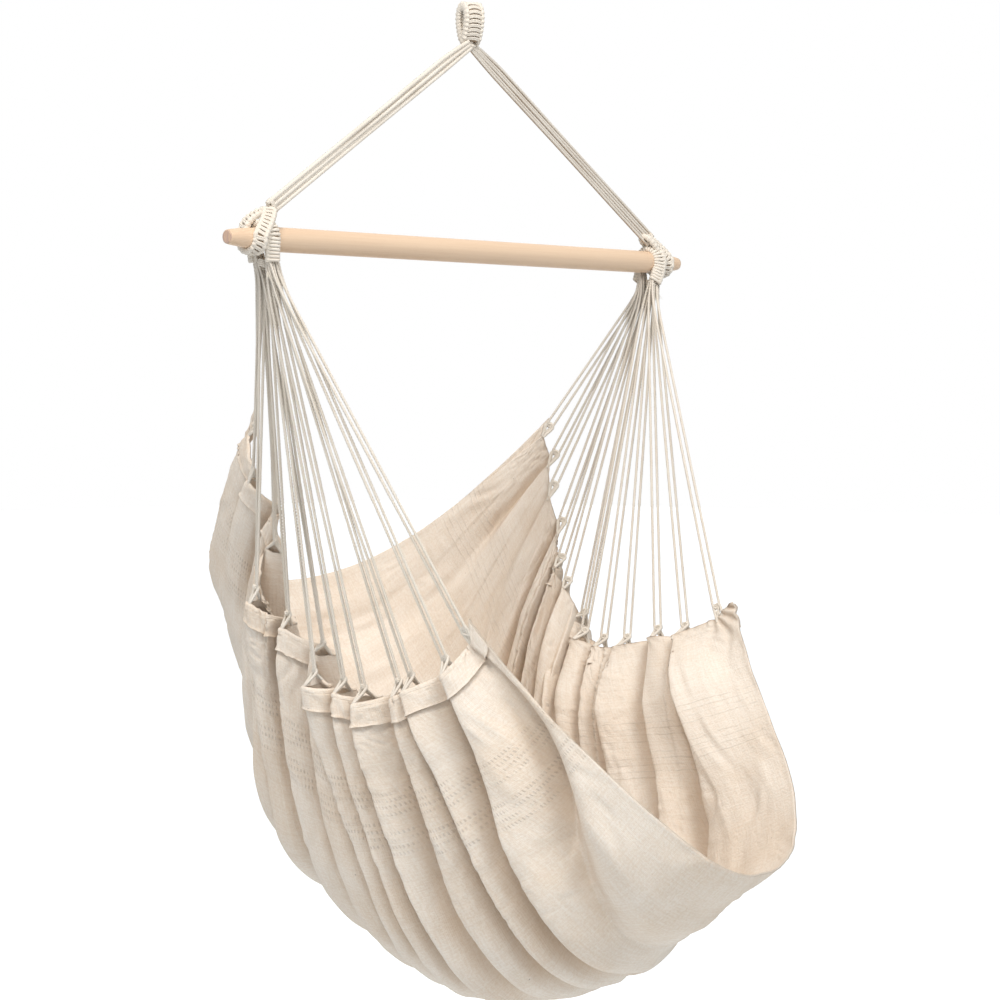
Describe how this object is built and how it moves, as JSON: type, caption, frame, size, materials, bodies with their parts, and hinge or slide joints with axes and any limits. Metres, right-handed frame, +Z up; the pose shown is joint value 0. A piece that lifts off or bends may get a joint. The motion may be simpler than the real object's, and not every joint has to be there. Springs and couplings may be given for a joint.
{
  "type": "hammock chair",
  "caption": "Hanging chair: a cotton cloth seat gathered into fans of cord on a wooden spreader bar, carried by bundled cord legs from a wrapped hanging eye.",
  "frame": {"origin": "top of the hanging eye's opening, where the hook carries the chair", "axes": "+Z up, +X along the spreader bar to the sitter's left hand seen from the front, -Y towards the open front of the seat"},
  "size_m": [1, 1.0468, 1.5172],
  "materials": {
    "cotton_cord": "undyed twisted cotton cord",
    "cotton_wrap": "undyed cotton whipping cord",
    "cotton_cloth": "undyed woven cotton with drawn-thread rows",
    "beech": "smooth light beech, clear matt finish"
  },
  "bodies": {
    "eye": {"eye_core": "cotton_cord", "eye_wrapping": "cotton_wrap"},
    "whipping": {"neck_whipping": "cotton_wrap"},
    "knot": {"neck_knot": "cotton_wrap"},
    "bridle": {"leg_cord_left_1": "cotton_cord", "leg_cord_left_2": "cotton_cord", "leg_cord_left_3": "cotton_cord", "leg_cord_left_4": "cotton_cord", "leg_cord_left_5": "cotton_cord", "leg_cord_right_1": "cotton_cord", "leg_cord_right_2": "cotton_cord", "leg_cord_right_3": "cotton_cord", "leg_cord_right_4": "cotton_cord", "leg_cord_right_5": "cotton_cord", "bridle_ring_left": "cotton_cord", "bridle_ring_right": "cotton_cord", "bridle_ring_wrapping_left": "cotton_wrap", "bridle_ring_wrapping_right": "cotton_wrap"},
    "bar": {"spreader_bar": "beech"},
    "seat": {"seat_ring_left": "cotton_cord", "seat_ring_right": "cotton_cord", "seat_ring_wrapping_left": "cotton_wrap", "seat_ring_wrapping_right": "cotton_wrap", "fan_cord_left_01": "cotton_cord", "fan_cord_left_02": "cotton_cord", "fan_cord_left_03": "cotton_cord", "fan_cord_left_04": "cotton_cord", "fan_cord_left_05": "cotton_cord", "fan_cord_left_06": "cotton_cord", "fan_cord_left_07": "cotton_cord", "fan_cord_left_08": "cotton_cord", "fan_cord_left_09": "cotton_cord", "fan_cord_left_10": "cotton_cord", "fan_cord_left_11": "cotton_cord", "fan_cord_left_12": "cotton_cord", "fan_cord_left_13": "cotton_cord", "fan_cord_left_14": "cotton_cord", "fan_cord_right_01": "cotton_cord", "fan_cord_right_02": "cotton_cord", "fan_cord_right_03": "cotton_cord", "fan_cord_right_04": "cotton_cord", "fan_cord_right_05": "cotton_cord", "fan_cord_right_06": "cotton_cord", "fan_cord_right_07": "cotton_cord", "fan_cord_right_08": "cotton_cord", "fan_cord_right_09": "cotton_cord", "fan_cord_right_10": "cotton_cord", "fan_cord_right_11": "cotton_cord", "fan_cord_right_12": "cotton_cord", "fan_cord_right_13": "cotton_cord", "hem_band_left": "cotton_cloth", "hem_band_right": "cotton_cloth", "seat_cloth": "cotton_cloth"}
  },
  "joints": [
    {"name": "chair_twist", "type": "hinge", "parent": "eye", "child": "whipping", "pos_m": [0, 0, -0.0499], "axis": [0, 0, 1], "range_deg": [-90, 90]},
    {"name": "chair_sway", "type": "hinge", "parent": "whipping", "child": "knot", "pos_m": [0, 0, -0.0499], "axis": [0, 1, 0], "range_deg": [-12, 12]},
    {"name": "chair_swing", "type": "hinge", "parent": "knot", "child": "bridle", "pos_m": [0, 0, -0.0499], "axis": [1, 0, 0], "range_deg": [-25, 25]},
    {"name": "bar_spin", "type": "hinge", "parent": "bridle", "child": "bar", "pos_m": [0, 0, -0.37], "axis": [1, 0, 0], "continuous": true},
    {"name": "seat_tilt", "type": "hinge", "parent": "bridle", "child": "seat", "pos_m": [0, 0, -0.37], "axis": [1, 0, 0], "range_deg": [-25, 25]}
  ]
}
